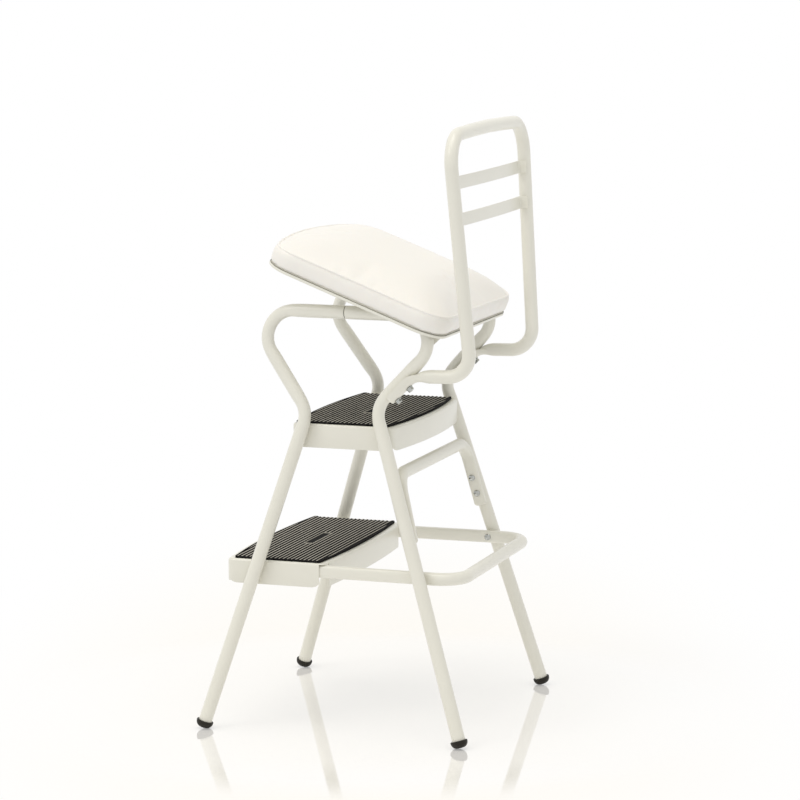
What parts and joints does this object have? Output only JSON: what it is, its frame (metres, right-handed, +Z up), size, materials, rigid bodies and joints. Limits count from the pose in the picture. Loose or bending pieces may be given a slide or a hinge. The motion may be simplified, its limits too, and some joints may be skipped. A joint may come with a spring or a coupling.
{
  "type": "folding step stool chair",
  "caption": "Counter-height chair and step stool in white tube with treads under a lift-up padded seat and a slatted backrest hoop.",
  "frame": {"origin": "on the floor, midway between the four feet", "axes": "+Z up, -Y the chair's front, where a person climbs the steps, +X the chair's left side"},
  "size_m": [0.4366, 0.4046, 0.8582],
  "materials": {
    "frame_paint": "satin warm white powder coat",
    "black_rubber": "matte black moulded rubber",
    "seat_vinyl": "smooth warm white vinyl",
    "zinc_hardware": "bright zinc plate"
  },
  "bodies": {
    "frame": {"front_leg_tube_left": "frame_paint", "rear_leg_tube_left": "frame_paint", "foot_front_left": "black_rubber", "foot_rear_left": "black_rubber", "front_leg_tube_right": "frame_paint", "rear_leg_tube_right": "frame_paint", "foot_front_right": "black_rubber", "foot_rear_right": "black_rubber", "backrest_hoop": "frame_paint", "backrest_slat_upper": "frame_paint", "backrest_slat_lower": "frame_paint", "upper_step_pan": "frame_paint", "lower_step_pan": "frame_paint", "step_support_tube": "frame_paint", "leg_cross_brace": "frame_paint", "upper_step_mat": "black_rubber", "lower_step_mat": "black_rubber", "hinge_pin_left": "zinc_hardware", "brace_rivet_upper_left": "zinc_hardware", "brace_rivet_lower_left": "zinc_hardware", "support_rivet_left": "zinc_hardware", "upper_step_rivet_front_left": "zinc_hardware", "upper_step_rivet_rear_left": "zinc_hardware", "lower_step_leg_rivet_left": "zinc_hardware", "lower_step_arm_rivet_left": "zinc_hardware", "backrest_screw_upper_left": "zinc_hardware", "backrest_screw_lower_left": "zinc_hardware", "hinge_pin_right": "zinc_hardware", "brace_rivet_upper_right": "zinc_hardware", "brace_rivet_lower_right": "zinc_hardware", "support_rivet_right": "zinc_hardware", "upper_step_rivet_front_right": "zinc_hardware", "upper_step_rivet_rear_right": "zinc_hardware", "lower_step_leg_rivet_right": "zinc_hardware", "lower_step_arm_rivet_right": "zinc_hardware", "backrest_screw_upper_right": "zinc_hardware", "backrest_screw_lower_right": "zinc_hardware"},
    "seat": {"seat_pan": "frame_paint", "seat_cushion": "seat_vinyl", "seat_hinge_left": "frame_paint", "seat_hinge_right": "frame_paint"}
  },
  "joints": [
    {"name": "seat_hinge", "type": "hinge", "parent": "frame", "child": "seat", "pos_m": [0, 0.11192, 0.58287], "axis": [-1, 0, 0], "range_deg": [-21, 16]}
  ]
}
